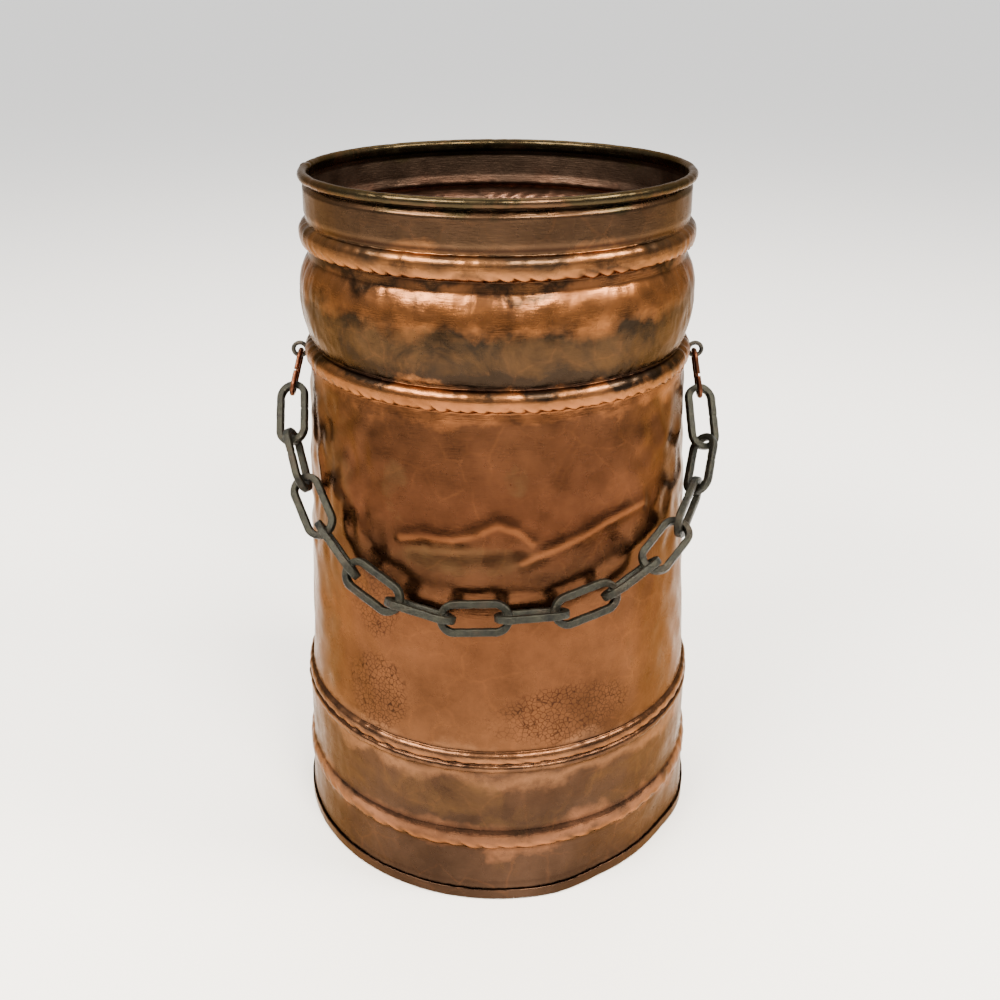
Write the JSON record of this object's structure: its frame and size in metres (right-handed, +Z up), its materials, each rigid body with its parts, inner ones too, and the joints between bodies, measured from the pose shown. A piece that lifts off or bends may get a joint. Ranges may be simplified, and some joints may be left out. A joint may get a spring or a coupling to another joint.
{
  "type": "ice bucket",
  "caption": "Tall hammered copper ice bucket with a wired rolled rim, beaded bands, a bulged shoulder and an iron chain handle hung from two eyes.",
  "frame": {"origin": "on the bucket's axis, on the underside of the base pan", "axes": "+Z up along the bucket's axis, -Y to the front where the chain hangs, +X to the right-hand eye"},
  "size_m": [0.2925, 0.2901, 0.454],
  "materials": {
    "copper_sheet": "hammered, aged satin copper",
    "copper_pan": "aged satin copper",
    "rim_wire": "drawn iron wire",
    "copper_burr": "aged copper",
    "iron_eye": "forged, dark",
    "copper_wire": "dark aged copper",
    "iron_chain": "forged, dark oiled"
  },
  "bodies": {
    "bucket": {"body_shell": "copper_sheet", "rim_wire": "rim_wire", "base_pan": "copper_pan", "eye_left": "iron_eye", "eye_right": "iron_eye", "burr_left": "copper_burr", "burr_right": "copper_burr"},
    "hook_left": {"hook_link_left": "copper_wire"},
    "hook_right": {"hook_link_right": "copper_wire"},
    "link_01": {"chain_link_01": "iron_chain"},
    "link_02": {"chain_link_02": "iron_chain"},
    "link_03": {"chain_link_03": "iron_chain"},
    "link_04": {"chain_link_04": "iron_chain"},
    "link_05": {"chain_link_05": "iron_chain"},
    "link_06": {"chain_link_06": "iron_chain"},
    "link_07": {"chain_link_07": "iron_chain"},
    "link_08": {"chain_link_08": "iron_chain"},
    "link_09": {"chain_link_09": "iron_chain"},
    "link_10": {"chain_link_10": "iron_chain"},
    "link_11": {"chain_link_11": "iron_chain"},
    "link_12": {"chain_link_12": "iron_chain"},
    "link_13": {"chain_link_13": "iron_chain"},
    "link_14": {"chain_link_14": "iron_chain"}
  },
  "joints": [
    {"name": "chain_swing", "type": "hinge", "parent": "bucket", "child": "hook_left", "pos_m": [-0.1315, 0, 0.3275], "axis": [-1, 0, 0], "range_deg": [0, 50]},
    {"name": "chain_swing_right", "type": "hinge", "parent": "bucket", "child": "hook_right", "pos_m": [0.1315, 0, 0.3275], "axis": [-1, 0, 0], "range_deg": [0, 50]},
    {"name": "link_01_turn", "type": "hinge", "parent": "hook_left", "child": "link_01", "pos_m": [-0.135, -0.0164, 0.30896], "axis": [0, -0.6383, 0.7698], "range_deg": [-1.5, 7.3]},
    {"name": "link_02_turn", "type": "hinge", "parent": "link_01", "child": "link_02", "pos_m": [-0.13281, -0.04076, 0.28534], "axis": [0, -0.6383, 0.7698], "range_deg": [-6, 1.5]},
    {"name": "link_03_turn", "type": "hinge", "parent": "link_02", "child": "link_03", "pos_m": [-0.12289, -0.06443, 0.26304], "axis": [0, -0.6383, 0.7698], "range_deg": [-3.4, 1.5]},
    {"name": "link_04_turn", "type": "hinge", "parent": "link_03", "child": "link_04", "pos_m": [-0.10857, -0.08729, 0.24234], "axis": [0, -0.6383, 0.7698], "range_deg": [-3.1, 1.5]},
    {"name": "link_05_turn", "type": "hinge", "parent": "link_04", "child": "link_05", "pos_m": [-0.0886, -0.1083, 0.22457], "axis": [0, -0.6383, 0.7698], "range_deg": [-2.8, 1.5]},
    {"name": "link_06_turn", "type": "hinge", "parent": "link_05", "child": "link_06", "pos_m": [-0.06202, -0.12603, 0.21294], "axis": [0, -0.6383, 0.7698], "range_deg": [-2.5, 1.5]},
    {"name": "link_07_turn", "type": "hinge", "parent": "link_06", "child": "link_07", "pos_m": [-0.03027, -0.13737, 0.20857], "axis": [0, -0.6383, 0.7698], "range_deg": [-2.2, 1.5]},
    {"name": "link_14_turn", "type": "hinge", "parent": "hook_right", "child": "link_14", "pos_m": [0.135, -0.00724, 0.30383], "axis": [0, 0.6383, -0.7698], "range_deg": [-1.5, 7.9]},
    {"name": "link_13_turn", "type": "hinge", "parent": "link_14", "child": "link_13", "pos_m": [0.13667, -0.02715, 0.27632], "axis": [0, 0.6383, -0.7698], "range_deg": [-6.5, 1.5]},
    {"name": "link_12_turn", "type": "hinge", "parent": "link_13", "child": "link_12", "pos_m": [0.12872, -0.05274, 0.25539], "axis": [0, 0.6383, -0.7698], "range_deg": [-3.7, 1.5]},
    {"name": "link_11_turn", "type": "hinge", "parent": "link_12", "child": "link_11", "pos_m": [0.1147, -0.07929, 0.23943], "axis": [0, 0.6383, -0.7698], "range_deg": [-3.1, 1.5]},
    {"name": "link_10_turn", "type": "hinge", "parent": "link_11", "child": "link_10", "pos_m": [0.09426, -0.10328, 0.22669], "axis": [0, 0.6383, -0.7698], "range_deg": [-2.6, 1.5]},
    {"name": "link_09_turn", "type": "hinge", "parent": "link_10", "child": "link_09", "pos_m": [0.06804, -0.12266, 0.21703], "axis": [0, 0.6383, -0.7698], "range_deg": [-2.4, 1.5]},
    {"name": "link_08_turn", "type": "hinge", "parent": "link_09", "child": "link_08", "pos_m": [0.03714, -0.13555, 0.21113], "axis": [0, 0.6383, -0.7698], "range_deg": [-2.3, 1.5]}
  ],
  "couplings": [
    {"joint": "chain_swing_right", "follows": "chain_swing", "ratio": 1},
    {"joint": "link_01_turn", "follows": "chain_swing", "ratio": 0.1159},
    {"joint": "link_02_turn", "follows": "chain_swing", "ratio": -0.09},
    {"joint": "link_03_turn", "follows": "chain_swing", "ratio": -0.0387},
    {"joint": "link_04_turn", "follows": "chain_swing", "ratio": -0.0324},
    {"joint": "link_05_turn", "follows": "chain_swing", "ratio": -0.0266},
    {"joint": "link_06_turn", "follows": "chain_swing", "ratio": -0.0193},
    {"joint": "link_07_turn", "follows": "chain_swing", "ratio": -0.0141},
    {"joint": "link_14_turn", "follows": "chain_swing", "ratio": 0.1288},
    {"joint": "link_13_turn", "follows": "chain_swing", "ratio": -0.1001},
    {"joint": "link_12_turn", "follows": "chain_swing", "ratio": -0.0438},
    {"joint": "link_11_turn", "follows": "chain_swing", "ratio": -0.0311},
    {"joint": "link_10_turn", "follows": "chain_swing", "ratio": -0.0218},
    {"joint": "link_09_turn", "follows": "chain_swing", "ratio": -0.0175},
    {"joint": "link_08_turn", "follows": "chain_swing", "ratio": -0.0163}
  ]
}
